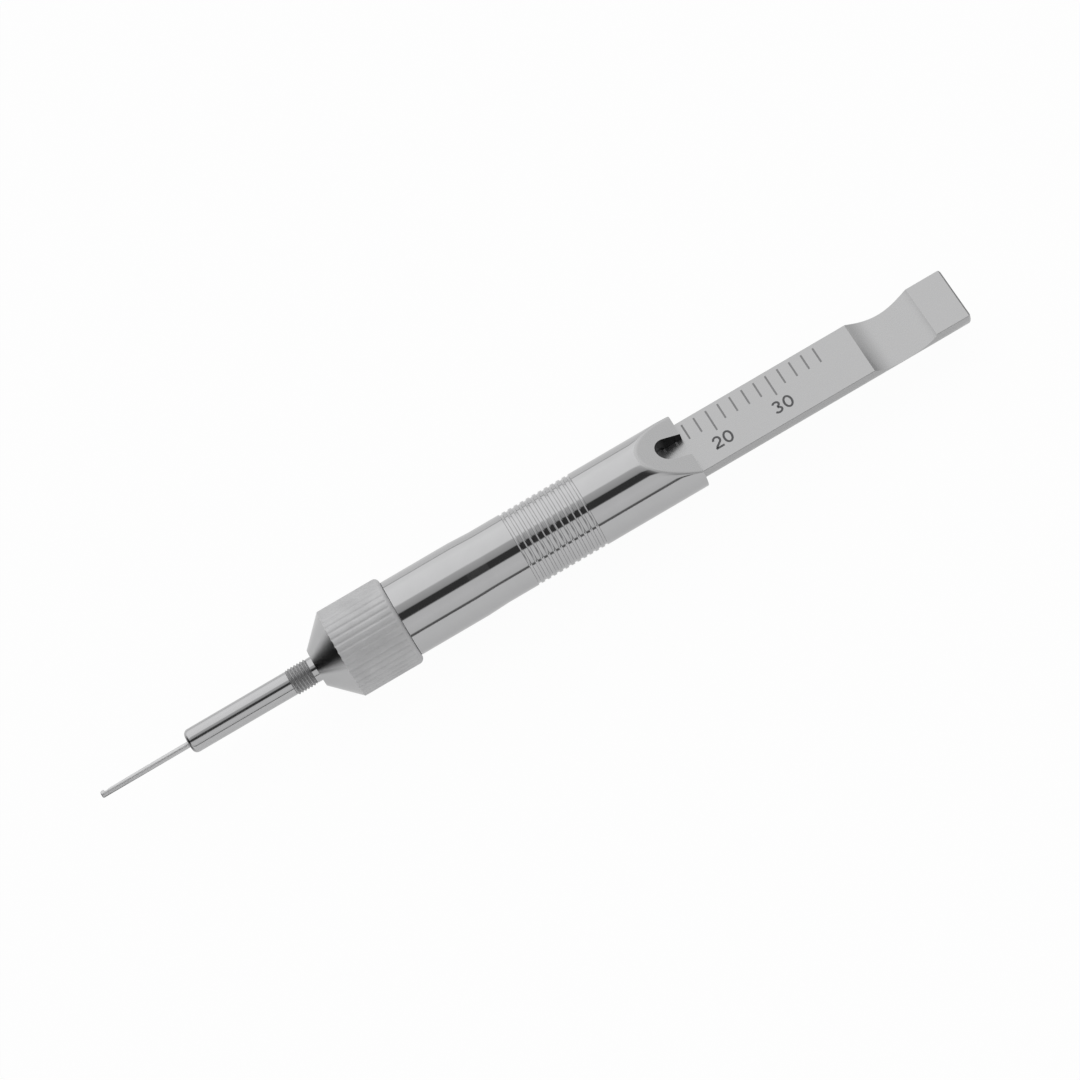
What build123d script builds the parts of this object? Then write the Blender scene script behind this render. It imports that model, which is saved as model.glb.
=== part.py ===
from build123d import *
import math
import os

# Screw depth gauge in millimetres. The instrument's axis is X: the hook points to -X and the
# thumb end to +X. The origin is the centre of the protection sleeve's front edge, where a
# reading starts. +Z is the normal of the scale face, and +Y is the side that the hook points to.

# Fits
RUN_GAP = 0.05
FACE_GAP = 0.05

# Straight steps in each turned rounding
ROUND_STEPS = 2

# Needle
HOOK_TIP_X = -14.6
HOOK_THICKNESS = 0.6
HOOK_HALF_WIDTH = 0.27
HOOK_TOP_Y = 0.33
NECK_TOP_Y = -0.08
NECK_LENGTH = 0.9
NEEDLE_R = 0.475
NEEDLE_CENTRE_Y = -0.2
NEEDLE_TIP_CHAMFER = 0.2
GRIND_TIP_Y = 0.04
GRIND_START_X = -1.0
SHANK_R = 0.70
SHANK_START_X = 24.6

# Protection sleeve
SLEEVE_R = 1.875
SLEEVE_BORE_R = 0.75
SLEEVE_TIP_ROUND = 0.8
THREAD_X = (17.1, 20.4)
THREAD_R = 2.05
THREAD_CHAMFER = 0.18
NECK_R = 1.935
SEAT_X = 22.0
SEAT_R = 2.05
FLANGE_X = (24.65, 26.05)
FLANGE_R = 5.0

# Clamping nut
NUT_NOSE_X = 21.35
NUT_NOSE_R = 2.95
NUT_R = 6.98
NUT_END_X = 35.3
NUT_END_ROUND = 0.8
NUT_BORE_R = 2.1
NUT_CAVITY_R = 5.65
KNURL_COUNT = 41
KNURL_START_ANGLE = 90 / KNURL_COUNT
KNURL_WIDTH = 0.74
KNURL_DEPTH = 0.24

# Barrel
BARREL_FRONT_X = 26.1
SPIGOT_R = 5.6
SPIGOT_CHAMFER = 0.4
SHOULDER_X = 35.5
SHOULDER_CHAMFER = 0.25
BARREL_FRONT_R = 6.0
WAIST_TAPER_X = (46.5, 50.0)
BARREL_R = 5.84
GRIP_START_X = 55.2
GRIP_GROOVES = 12
GRIP_PITCH = 1.0
GRIP_GROOVE_DEPTH = 0.2
BARREL_END_X = 83.4
BARREL_END_ROUND = 0.45
BORE_R = 4.65
BORE_END_X = 76.6

# Reading bevel and notch at the barrel's rear end
BEVEL_START_X = 76.0
BEVEL_END_Z = 2.1
NOTCH_R = 1.9
NOTCH_CENTRE_X = 80.8

# Slide
BAR_R = 4.6
SCALE_FACE_Z = 0.6
BAR_END_X = 128.1
BAR_END_ROUND = 0.45
BAR_FACE_CHAMFER = 0.25
RECESS_CENTRE_X = 117.3
RECESS_HALF_LENGTH = 5.2
RECESS_DEPTH = 2.04
TENON_R = 2.5
TENON_LENGTH = 5.9

# Needle carrier
CARRIER_X = (49.2, 61.5)
CARRIER_R = 4.6
NEEDLE_SEAT_DEPTH = 5.0
SOCKET_DEPTH = 6.0
RING_GROOVE_X = (54.55, 55.45)
RING_GROOVE_R = 3.9
SCREW_X = 51.4
SCREW_R = 0.8
SCREW_Z = (SHANK_R, 3.9)
SCREW_SOCKET_FLATS = 0.9
SCREW_SOCKET_DEPTH = 1.1
DOWEL_X = 58.6
DOWEL_R = 0.6
DOWEL_HALF_LENGTH = 4.35

# Friction ring
RING_X = (54.6, 55.4)
RING_R = (3.95, 4.6)
RING_GAP = 1.2


def turned(corners):
    """Revolve an outline of (x, radius) corners about the instrument's axis."""
    return revolve(make_face(Polyline(*corners, close=True)), Axis.X)


def front_round(x, radius, size):
    """Corners of a turned edge rounded by size, from the front face to the rim."""
    angles = [90 * step / ROUND_STEPS for step in range(ROUND_STEPS + 1)]
    return [
        (x + size - size * math.cos(math.radians(angle)),
         radius - size + size * math.sin(math.radians(angle)))
        for angle in angles
    ]


def back_round(x, radius, size):
    """The same for an edge at the back, from the rim to the back face."""
    return [(2 * x - corner_x, corner_r) for corner_x, corner_r in
            reversed(front_round(x, radius, size))]


def rod(x_span, radius, along=Axis.X, centre=(0, 0)):
    """Round rod along X, Y or Z. The centre is given in the two other coordinates."""
    start, end = x_span
    length = end - start
    middle = (start + end) / 2
    if along == Axis.X:
        place = Location((middle, centre[0], centre[1]), (0, 90, 0))
    elif along == Axis.Y:
        place = Location((centre[0], middle, centre[1]), (90, 0, 0))
    else:
        place = Location((centre[0], centre[1], middle))
    return place * Cylinder(radius, length)


def block(x_span, y_span, z_span):
    """Box between two corners."""
    spans = (x_span, y_span, z_span)
    size = [high - low for low, high in spans]
    middle = [(high + low) / 2 for low, high in spans]
    return Pos(*middle) * Box(*size)


def hook_needle():
    neck_end_x = HOOK_TIP_X + HOOK_THICKNESS
    shank_end = CARRIER_X[0] + NEEDLE_SEAT_DEPTH
    # The thin front part is ground to one side of the shank, away from the hook.
    needle = Pos(0, NEEDLE_CENTRE_Y, 0) * turned([
        (HOOK_TIP_X, 0),
        (HOOK_TIP_X, NEEDLE_R - NEEDLE_TIP_CHAMFER),
        (HOOK_TIP_X + NEEDLE_TIP_CHAMFER, NEEDLE_R),
        (SHANK_START_X, NEEDLE_R),
        (SHANK_START_X, 0),
    ])
    # The upper side is ground down to the neck behind the hook.
    ground_away = Polyline(
        (neck_end_x, 2 * NEEDLE_R),
        (neck_end_x, NECK_TOP_Y),
        (neck_end_x + NECK_LENGTH / 2, NECK_TOP_Y),
        (neck_end_x + NECK_LENGTH, GRIND_TIP_Y),
        (GRIND_START_X, NEEDLE_CENTRE_Y + NEEDLE_R),
        (GRIND_START_X, 2 * NEEDLE_R),
        close=True,
    )
    needle -= extrude(make_face(ground_away), NEEDLE_R, both=True)
    hook = block(
        (HOOK_TIP_X, neck_end_x), (NEEDLE_CENTRE_Y, HOOK_TOP_Y), (-HOOK_HALF_WIDTH, HOOK_HALF_WIDTH))
    nose_edge = hook.edges().filter_by(Axis.Z).sort_by(Axis.X)[:2].sort_by(Axis.Y)[-1]
    hook = fillet(nose_edge, HOOK_THICKNESS / 3)
    return needle + hook + rod((SHANK_START_X, shank_end), SHANK_R)


def protection_sleeve():
    thread_start, thread_end = THREAD_X
    flange_front, flange_back = FLANGE_X
    return turned([
        (0, SLEEVE_BORE_R),
        *front_round(0, SLEEVE_R, SLEEVE_TIP_ROUND),
        (thread_start, SLEEVE_R),
        (thread_start + THREAD_CHAMFER, THREAD_R),
        (thread_end - THREAD_CHAMFER, THREAD_R),
        (thread_end, NECK_R),
        (SEAT_X, NECK_R),
        (SEAT_X + SEAT_R - NECK_R, SEAT_R),
        (flange_front, SEAT_R),
        (flange_front, FLANGE_R),
        (flange_back, FLANGE_R),
        (flange_back, SLEEVE_BORE_R),
    ])


def knurled_blank():
    """Straight knurl: a prism with one flat-topped tooth and one V groove per pitch."""
    pitch_angle = 360 / KNURL_COUNT
    land_angle = pitch_angle * (1 - KNURL_WIDTH * KNURL_COUNT / (2 * math.pi * NUT_R))
    corners = []
    for index in range(KNURL_COUNT):
        middle = KNURL_START_ANGLE + index * pitch_angle
        corners += [
            polar(NUT_R, middle - land_angle / 2),
            polar(NUT_R, middle + land_angle / 2),
            polar(NUT_R - KNURL_DEPTH, middle + pitch_angle / 2),
        ]
    section = make_face(Polyline(*corners, close=True))
    return extrude(Plane.YZ.offset(NUT_NOSE_X) * section, NUT_END_X - NUT_NOSE_X)


def polar(radius, angle):
    """Point of a section across the axis, by its radius and its angle in degrees."""
    return (radius * math.cos(math.radians(angle)), radius * math.sin(math.radians(angle)))


def clamping_nut():
    cone_length = NUT_R - NUT_NOSE_R
    nut = turned([
        (NUT_NOSE_X, NUT_BORE_R),
        (NUT_NOSE_X, NUT_NOSE_R),
        (NUT_NOSE_X + cone_length, NUT_R),
        *back_round(NUT_END_X, NUT_R, NUT_END_ROUND),
        (NUT_END_X, NUT_CAVITY_R),
        (FLANGE_X[0] - FACE_GAP, NUT_CAVITY_R),
        (FLANGE_X[0] - FACE_GAP, NUT_BORE_R),
    ])
    return nut & knurled_blank()


def barrel_blank():
    taper_start, taper_end = WAIST_TAPER_X
    # V-shaped ring grooves, side by side
    grip = [(GRIP_START_X, BARREL_R)]
    for index in range(GRIP_GROOVES):
        groove_x = GRIP_START_X + index * GRIP_PITCH
        grip.append((groove_x + GRIP_PITCH / 2, BARREL_R - GRIP_GROOVE_DEPTH))
        grip.append((groove_x + GRIP_PITCH, BARREL_R))
    return turned([
        (BARREL_FRONT_X, BORE_R),
        (BARREL_FRONT_X, SPIGOT_R - SPIGOT_CHAMFER),
        (BARREL_FRONT_X + SPIGOT_CHAMFER, SPIGOT_R),
        (SHOULDER_X, SPIGOT_R),
        (SHOULDER_X, BARREL_FRONT_R - SHOULDER_CHAMFER),
        (SHOULDER_X + SHOULDER_CHAMFER, BARREL_FRONT_R),
        (taper_start, BARREL_FRONT_R),
        (taper_end, BARREL_R),
        *grip,
        *back_round(BARREL_END_X, BARREL_R, BARREL_END_ROUND),
        (BARREL_END_X, BORE_R),
    ])


def bevel_cutter():
    """Everything above the plane that slants down to the barrel's rear end."""
    slope = (BARREL_R - BEVEL_END_Z) / (BARREL_END_X - BEVEL_START_X)
    past_end_x = BARREL_END_X + 2
    outline = Polyline(
        (BEVEL_START_X, BARREL_R),
        (past_end_x, BARREL_R - slope * (past_end_x - BEVEL_START_X)),
        (past_end_x, 2 * BARREL_R),
        (BEVEL_START_X, 2 * BARREL_R),
        close=True,
    )
    return extrude(Plane.XZ * make_face(outline), 2 * BARREL_R, both=True)


def notch_cutter():
    """U-shaped cutter, open to the rear, that stops at the channel's roof."""
    roof = SCALE_FACE_Z + RUN_GAP
    height = (roof, 2 * BARREL_R)
    round_end = rod(height, NOTCH_R, Axis.Z, (NOTCH_CENTRE_X, 0))
    open_end = block((NOTCH_CENTRE_X, BARREL_END_X + 1), (-NOTCH_R, NOTCH_R), height)
    return round_end + open_end


def barrel():
    body = barrel_blank()
    # The round bore ends in a D-shaped channel, which keeps the bar from turning.
    roof = block((BORE_END_X, BARREL_END_X), (-BORE_R, BORE_R), (SCALE_FACE_Z + RUN_GAP, BORE_R))
    body += roof & rod((BORE_END_X, BARREL_END_X), BORE_R)
    body -= bevel_cutter()
    return body - notch_cutter()


def slide_bar():
    bar_start = CARRIER_X[1]
    bar = turned([
        (bar_start, 0),
        (bar_start, BAR_R),
        *back_round(BAR_END_X, BAR_R, BAR_END_ROUND),
        (BAR_END_X, 0),
    ])
    bar &= block((bar_start, BAR_END_X), (-BAR_R, BAR_R), (-BAR_R, SCALE_FACE_Z))
    face_end = bar.faces().sort_by(Axis.X)[-1].edges().sort_by(Axis.Z)[-1]
    bar = chamfer(face_end, BAR_FACE_CHAMFER)
    recess_r = (RECESS_HALF_LENGTH**2 + RECESS_DEPTH**2) / (2 * RECESS_DEPTH)
    recess_z = SCALE_FACE_Z - RECESS_DEPTH + recess_r
    bar -= rod((-2 * BAR_R, 2 * BAR_R), recess_r, Axis.Y, (RECESS_CENTRE_X, recess_z))
    bar += rod((bar_start - TENON_LENGTH, bar_start), TENON_R)
    return bar - rod((-BAR_R, BAR_R), DOWEL_R, Axis.Y, (DOWEL_X, 0))


def needle_carrier():
    front, back = CARRIER_X
    groove_front, groove_back = RING_GROOVE_X
    carrier = turned([
        (front, 0),
        (front, CARRIER_R),
        (groove_front, CARRIER_R),
        (groove_front, RING_GROOVE_R),
        (groove_back, RING_GROOVE_R),
        (groove_back, CARRIER_R),
        (back, CARRIER_R),
        (back, 0),
    ])
    carrier -= rod((front, front + NEEDLE_SEAT_DEPTH), SHANK_R)
    carrier -= rod((back - SOCKET_DEPTH, back), TENON_R)
    carrier -= rod((-2 * CARRIER_R, 2 * CARRIER_R), DOWEL_R, Axis.Y, (DOWEL_X, 0))
    return carrier - rod((0, 2 * CARRIER_R), SCREW_R, Axis.Z, (SCREW_X, 0))


def needle_screw():
    low, high = SCREW_Z
    screw = rod(SCREW_Z, SCREW_R, Axis.Z, (SCREW_X, 0))
    socket = RegularPolygon(SCREW_SOCKET_FLATS / 2, 6, major_radius=False)
    socket_top = Plane.XY.offset(high) * Pos(SCREW_X, 0) * socket
    return screw - extrude(socket_top, -SCREW_SOCKET_DEPTH)


def bar_dowel():
    return rod((-DOWEL_HALF_LENGTH, DOWEL_HALF_LENGTH), DOWEL_R, Axis.Y, (DOWEL_X, 0))


def friction_ring():
    inner, outer = RING_R
    ring = rod(RING_X, outer) - rod(RING_X, inner)
    return ring - block(RING_X, (-RING_GAP / 2, RING_GAP / 2), (-2 * outer, 0))


NODES = {
    "barrel": barrel,
    "clamping_nut": clamping_nut,
    "protection_sleeve": protection_sleeve,
    "slide_bar": slide_bar,
    "needle_carrier": needle_carrier,
    "hook_needle": hook_needle,
    "needle_screw": needle_screw,
    "bar_dowel": bar_dowel,
    "friction_ring": friction_ring,
}

os.makedirs("parts", exist_ok=True)
for name, make in NODES.items():
    piece = make()
    piece.label = name
    export_step(piece, f"parts/{name}.step")
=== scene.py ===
import math

import bmesh
import bpy
from mathutils import Matrix, Vector


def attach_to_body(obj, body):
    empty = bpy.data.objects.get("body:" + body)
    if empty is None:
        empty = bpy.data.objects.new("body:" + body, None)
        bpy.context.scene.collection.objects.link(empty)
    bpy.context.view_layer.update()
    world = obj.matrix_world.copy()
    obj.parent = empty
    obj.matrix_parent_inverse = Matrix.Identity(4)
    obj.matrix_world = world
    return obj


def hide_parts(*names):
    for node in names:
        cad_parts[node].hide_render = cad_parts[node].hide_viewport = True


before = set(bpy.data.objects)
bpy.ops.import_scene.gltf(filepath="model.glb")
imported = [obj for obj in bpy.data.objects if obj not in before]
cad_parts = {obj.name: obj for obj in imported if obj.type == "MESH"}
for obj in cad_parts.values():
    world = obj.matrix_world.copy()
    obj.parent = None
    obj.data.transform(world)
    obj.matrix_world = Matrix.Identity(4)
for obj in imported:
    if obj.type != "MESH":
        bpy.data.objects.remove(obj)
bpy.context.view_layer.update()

# Screw depth gauge. Lengths are in millimetres here and become metres in the meshes.
# The instrument's axis is X with the hook at -X, the origin is the centre of the sleeve's
# front edge, +Z is the normal of the scale face and +Y is the side that the hook points to.

MM = 0.001

# Camera and picture
VIEW_TILT_DEG = 29.0
VIEW_YAW_DEG = -1.4
AXIS_RISE_DEG = 30.35
VIEW_CENTRE_X = 58.34
VIEW_CENTRE_DROP = 0.325
CAMERA_DISTANCE = 550.0
CAMERA_LENS = 127.25
CAMERA_SENSOR = 36.0
CAMERA_CLIP_M = (0.01, 20.0)
FLOOR_Z = -7.0
FLOOR_SIZE = 6000.0

# Meshes
SEGMENTS = 256
ROUND_STEPS = 6
FINE_ROUND_STEPS = 8
ON_AXIS = 1e-9
SUPPORT_REACH = 0.08
LONG_RUN = 5 * SUPPORT_REACH
WELD_DISTANCE = 0.0001
EDGE_SOFTENING = 0.05
SOFTENING_STEPS = 2
SHARP_ANGLE_DEG = 20
WELL_CLEAR = 9.0

# Protection sleeve
SLEEVE_R = 1.875
SLEEVE_BORE_R = 0.75
SLEEVE_TIP_ROUND = 0.8
SLEEVE_COLUMNS = 160
THREAD_X = (17.1, 20.4)
THREAD_PITCH = 0.5
THREAD_FLANK_SHARE = 0.9
THREAD_STEPS = 14
THREAD_START_SHARE = 0.3
THREAD_CREST_R = 2.05
THREAD_ROOT_R = 1.82
THREAD_RUNOUT_SLOPE = 1.6
THREAD_END_GAP = 0.05
NECK_R = 1.935
NECK_CHAMFER = 0.05
SEAT_X = 22.0
SEAT_R = 2.05
FLANGE_X = (24.65, 26.05)
FLANGE_R = 5.0

# Clamping nut
NUT_NOSE_X = 21.35
NUT_NOSE_R = 2.95
NUT_CONE_ROWS = (0.25, 0.5, 0.75)
NUT_CONE_REACH = 0.02
NUT_R = 6.97
NUT_END_X = 35.3
NUT_END_ROUND = 0.8
NUT_BORE_R = 2.1
NUT_CAVITY_R = 5.65
NUT_CAVITY_X = 24.6
KNURL_COUNT = 41
KNURL_START_DEG = -1.9
KNURL_WIDTH = 0.62
KNURL_DEPTH = 0.09
KNURL_STEPS = 8
KNURL_FULLNESS = 1.3

# Barrel
BARREL_COLUMNS = 288
BARREL_FRONT_X = 26.1
SPIGOT_R = 5.6
SPIGOT_ROOT_R = 5.25
SPIGOT_THREAD_X = (26.4, 34.2)
SPIGOT_THREAD_PITCH = 0.75
SHOULDER_X = 35.34
SHOULDER_CHAMFER = (0.08, 0.06)
BARREL_FRONT_R = 6.0
WAIST_TAPER_X = (46.5, 50.0)
BARREL_R = 5.84
GRIP_START_X = 54.75
GRIP_GROOVES = 12
GRIP_PITCH = 1.0
GRIP_GROOVE_WIDTH = 0.5
GRIP_GROOVE_DEPTH = 0.2
BARREL_END_X = 83.4
BARREL_END_ROUND = 0.15
BORE_R = 4.65
BORE_END_X = 76.6
BEVEL_START_X = 76.0
BEVEL_END_Z = 2.1
BEVEL_SLOPE = (BARREL_R - BEVEL_END_Z) / (BARREL_END_X - BEVEL_START_X)
BEVEL_EDGE_BLEND = 0.15
BUFFING_BLEND = 2.1
BUFFING_LIFT = 1.47
BUFFED_FROM_X = 74.5
BUFFED_ROW_STEP = 0.12
BUFFED_LEAST_SHARE = 0.2
BUFFED_HALVINGS = 24
# Least and most lengthwise lean of a face that keeps the bevel's satin finish, and how well a
# face near the rear edge has to follow the bevel for it
BEVEL_LEAN = (0.15, 0.9)
BEVEL_LIKENESS = 0.98
REAR_FACE_REACH = 0.02
NOTCH_R = 1.9
NOTCH_CENTRE_X = 80.8
NOTCH_STEPS = 64
NOTCH_BELOW_ROOF = 0.3
NOTCH_PAST_END = 2.0
NOTCH_WALL_REACH = 0.06
CHANNEL_ROOF_Z = 0.65

# Slide bar
BAR_START_X = 61.5
BAR_R = 4.6
SCALE_FACE_Z = 0.6
BAR_END_X = 128.1
BAR_END_ROUND = 0.45
BAR_FACE_CHAMFER = 0.25
BAR_EDGE_ROUND = 0.12
RECESS_CENTRE_X = 117.3
RECESS_HALF_LENGTH = 5.2
RECESS_DEPTH = 2.04
RECESS_STEPS = 256
TENON_R = 2.5
TENON_LENGTH = 5.9
DOWEL_X = 58.6
DOWEL_R = 0.6
DOWEL_STEPS = 48

# Scale
SCALE_ZERO_X = 68.4
SCALE_STEP = 2
SCALE_LAST = 38
NUMBERED = (10, 20, 30)
LINE_START_Y = 3.9
LONG_LINE = 3.7
SHORT_LINE = 2.7
LINE_WIDTH = 0.28
MARK_DEPTH = 0.02
MARK_RISE = 0.006
DIGIT_HEIGHT = 2.1
DIGIT_WIDTHS = {"0": 1.5, "1": 0.8, "2": 1.35, "3": 1.4}
DIGIT_STROKE = 0.33
DIGIT_GAP = 0.3
DIGIT_TOP_Y = -0.54

# Needle
HOOK_TIP_X = -14.5
HOOK_THICKNESS = 0.6
HOOK_HALF_WIDTH = 0.27
HOOK_TOP_Y = 0.33
HOOK_INSET = 0.003
HOOK_CORNER = 0.2
HOOK_CORNER_MIDDLE = (0.08, 0.05)
NECK_TOP_Y = -0.08
NECK_LENGTH = 0.9
NEEDLE_R = 0.475
NEEDLE_CENTRE_Y = -0.2
NEEDLE_TIP_ROUND = 0.2
NEEDLE_COLUMNS = 64
NEEDLE_SOFTENING = 0.03
GRIND_TIP_Y = 0.04
GRIND_START_X = -1.0
NEEDLE_ROWS_X = (-10, -7, -4, GRIND_START_X, 5, 15)
SHANK_R = 0.70
SHANK_START_X = 24.6
SHANK_END_X = 54.2


def radians_of(fraction):
    """Angle of a share of a full turn."""
    return 2 * math.pi * fraction


def new_object(name, points, faces):
    """Mesh object from points in millimetres."""
    mesh = bpy.data.meshes.new(name)
    mesh.from_pydata([tuple(MM * value for value in point) for point in points], [], faces)
    mesh.validate()
    piece = bpy.data.objects.new(name, mesh)
    bpy.context.scene.collection.objects.link(piece)
    outward(piece)
    return piece


def outward(piece):
    """Weld points that coincide and turn all the faces of a closed mesh outward."""
    work = bmesh.new()
    work.from_mesh(piece.data)
    bmesh.ops.remove_doubles(work, verts=work.verts, dist=WELD_DISTANCE * MM)
    bmesh.ops.recalc_face_normals(work, faces=work.faces)
    work.to_mesh(piece.data)
    work.free()


def ring_grid(name, columns):
    """Closed mesh from rings of points: one list of points for each column, joined in a loop.

    A point on the axis is shared by all the columns.
    """
    rows = len(columns[0])
    points = []
    index = {}
    for row in range(rows):
        on_axis = math.hypot(columns[0][row][1], columns[0][row][2]) < ON_AXIS
        for column, ring in enumerate(columns):
            if on_axis and column:
                index[column, row] = index[0, row]
            else:
                index[column, row] = len(points)
                points.append(ring[row])
    faces = []
    for column in range(len(columns)):
        after = (column + 1) % len(columns)
        for row in range(rows):
            below = (row + 1) % rows
            corners = [index[column, row], index[after, row], index[after, below],
                       index[column, below]]
            corners = list(dict.fromkeys(corners))
            if len(corners) > 2:
                faces.append(corners)
    return new_object(name, points, faces)


def supported(outline):
    """The outline with extra points close to the ends of its long straight runs.

    They keep the smooth shading of an edge from spreading over the surface beside it.
    """
    rows = []
    for index, (x, radius) in enumerate(outline):
        rows.append((x, radius))
        next_x, next_radius = outline[(index + 1) % len(outline)]
        length = math.hypot(next_x - x, next_radius - radius)
        if length > LONG_RUN:
            for share in (SUPPORT_REACH / length, 1 - SUPPORT_REACH / length):
                rows.append((x + (next_x - x) * share, radius + (next_radius - radius) * share))
    return rows


def polar(radius, angle):
    return (radius * math.cos(angle), radius * math.sin(angle))


def lathe(name, corners):
    """Revolve a closed outline of (x, radius) corners about the instrument's axis."""
    corners = supported(corners)
    columns = []
    for segment in range(SEGMENTS):
        angle = radians_of(segment / SEGMENTS)
        columns.append([(x, *polar(radius, angle)) for x, radius in corners])
    return ring_grid(name, columns)


def prism(name, outline, low, high, axis):
    """Straight prism of a closed outline along an axis. The outline is in the two others."""
    def point(first, second, along):
        return {
            "X": (along, first, second),
            "Y": (first, along, second),
            "Z": (first, second, along),
        }[axis]

    count = len(outline)
    points = [point(a, b, low) for a, b in outline] + [point(a, b, high) for a, b in outline]
    faces = [list(range(count)), list(range(count, 2 * count))]
    for index in range(count):
        after = (index + 1) % count
        faces.append([index, after, count + after, count + index])
    return new_object(name, points, faces)


def arc(centre, radii, start_deg, end_deg, steps):
    """Points of an elliptical arc in a plane, from one angle to another."""
    points = []
    for step in range(steps + 1):
        angle = math.radians(start_deg + (end_deg - start_deg) * step / steps)
        points.append((centre[0] + radii[0] * math.cos(angle),
                       centre[1] + radii[1] * math.sin(angle)))
    return points


def circle(centre, radius, count):
    return arc(centre, (radius, radius), 0, 360, count)[:-1]


def front_round(x, radius, size):
    """Corners of a turned edge rounded by size, from the front face to the rim."""
    angles = [math.pi / 2 * step / ROUND_STEPS for step in range(ROUND_STEPS + 1)]
    return [
        (x + size - size * math.cos(angle), radius - size + size * math.sin(angle))
        for angle in angles
    ]


def back_round(x, radius, size):
    """The same for an edge at the back, from the rim to the back face."""
    return [
        (2 * x - corner_x, corner_r)
        for corner_x, corner_r in reversed(front_round(x, radius, size))
    ]


def apply_modifiers(piece):
    """Keep what the modifiers make as the piece's own mesh."""
    graph = bpy.context.evaluated_depsgraph_get()
    made = bpy.data.meshes.new_from_object(piece.evaluated_get(graph))
    piece.modifiers.clear()
    piece.data = made


def combine(piece, other, operation):
    """Cut, join or intersect a piece with another one, which is used up."""
    modifier = piece.modifiers.new("combine", "BOOLEAN")
    modifier.operation = operation
    modifier.solver = "EXACT"
    modifier.object = other
    apply_modifiers(piece)
    bpy.data.objects.remove(other)


def soften(piece, width):
    """Round the sharp edges a little."""
    modifier = piece.modifiers.new("soften", "BEVEL")
    modifier.width = width * MM
    modifier.segments = SOFTENING_STEPS
    modifier.limit_method = "ANGLE"
    modifier.angle_limit = math.radians(SHARP_ANGLE_DEG)
    modifier.miter_outer = "MITER_ARC"
    modifier.use_clamp_overlap = True
    apply_modifiers(piece)


def finish_piece(piece, body, slot, material, *nodes):
    """Shading, material, body and the CAD nodes that the piece stands for; the slot argument is
    not used.
    """
    mesh = piece.data
    mesh.polygons.foreach_set("use_smooth", [True] * len(mesh.polygons))
    mesh.set_sharp_from_angle(angle=math.radians(SHARP_ANGLE_DEG))
    modifier = piece.modifiers.new("even_normals", "WEIGHTED_NORMAL")
    modifier.mode = "FACE_AREA"
    modifier.keep_sharp = True
    apply_modifiers(piece)
    mesh = piece.data
    mesh.materials.clear()
    mesh.materials.append(material)
    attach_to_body(piece, body)
    if nodes:
        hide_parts(*nodes)


# Nodes

# Places of a colour Mix node's sockets
MIX_FACTOR, MIX_FIRST, MIX_SECOND, MIX_RESULT = 0, 6, 7, 2


def add_node(tree, kind, values=None, **traits):
    """New node with some of its traits and of its sockets' values set."""
    made = tree.nodes.new(kind)
    for name, value in traits.items():
        setattr(made, name, value)
    for socket, value in (values or {}).items():
        made.inputs[socket].default_value = value
    return made


def attach(tree, source, socket):
    """Link an output to a socket, or set the socket to a plain value."""
    if isinstance(source, bpy.types.NodeSocket):
        tree.links.new(source, socket)
    else:
        socket.default_value = source


def math_node(tree, operation, *sources):
    """Result of a Math node on outputs and plain values."""
    node = add_node(tree, "ShaderNodeMath", operation=operation)
    for source, socket in zip(sources, node.inputs):
        attach(tree, source, socket)
    return node.outputs["Value"]


def ranged(tree, source, span, result=(0.0, 1.0), interpolation="LINEAR"):
    """An output mapped from a span of values to another one, and kept within it."""
    node = add_node(tree, "ShaderNodeMapRange", {
        "From Min": span[0], "From Max": span[1], "To Min": result[0], "To Max": result[1],
    }, interpolation_type=interpolation)
    tree.links.new(source, node.inputs["Value"])
    return node.outputs["Result"]


def mixed(tree, factor, first, second):
    """Mix of two colours, each an output or a plain colour."""
    node = add_node(tree, "ShaderNodeMix", data_type="RGBA")
    for place, source in ((MIX_FACTOR, factor), (MIX_FIRST, first), (MIX_SECOND, second)):
        attach(tree, source, node.inputs[place])
    return node.outputs[MIX_RESULT]


def grey(level):
    return (level, level, level, 1)


def tinted(colour, strength):
    """A colour made lighter or darker, as four values."""
    return [min(1, strength * value) for value in colour] + [1]


def bumped(tree, height, depth, shader):
    """Give the shader a bump of a depth in millimetres."""
    bump = add_node(tree, "ShaderNodeBump", {"Distance": depth * MM, "Strength": 1.0})
    tree.links.new(height, bump.inputs["Height"])
    tree.links.new(bump.outputs["Normal"], shader.inputs["Normal"])


def new_material(name):
    """Node material, its tree and its shader."""
    material = bpy.data.materials.new(name)
    material.use_nodes = True
    return material, material.node_tree, material.node_tree.nodes["Principled BSDF"]


# Materials

MARK_NOISE = {"Scale": 1.0, "Detail": 3.0, "Roughness": 0.6}
PATCH_NOISE = {"Scale": 0.35 / MM, "Detail": 4.0}
INK_NOISE = {"Scale": 9 / MM, "Detail": 3.0}
MIDDLE_OF_NOISE = (0.3, 0.7)
PATCH_TINT = 0.93
WORN_TINT = 1.2
EDGE_REACH = 0.12
EDGE_SAMPLES = 4
EDGE_LIKENESS = (0.995, 0.90)
INK_TINT = 1.8
INK_ROUGHNESS = (0.45, 0.75)
INK_GRAIN_DEPTH = 0.01


def near_edge(tree):
    """How near an edge is: where a rounded normal leaves the true one."""
    rounded = add_node(tree, "ShaderNodeBevel", {"Radius": EDGE_REACH * MM}, samples=EDGE_SAMPLES)
    true_normal = add_node(tree, "ShaderNodeNewGeometry")
    alike = add_node(tree, "ShaderNodeVectorMath", operation="DOT_PRODUCT")
    tree.links.new(rounded.outputs["Normal"], alike.inputs[0])
    tree.links.new(true_normal.outputs["Normal"], alike.inputs[1])
    return ranged(tree, alike.outputs["Value"], EDGE_LIKENESS)


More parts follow.
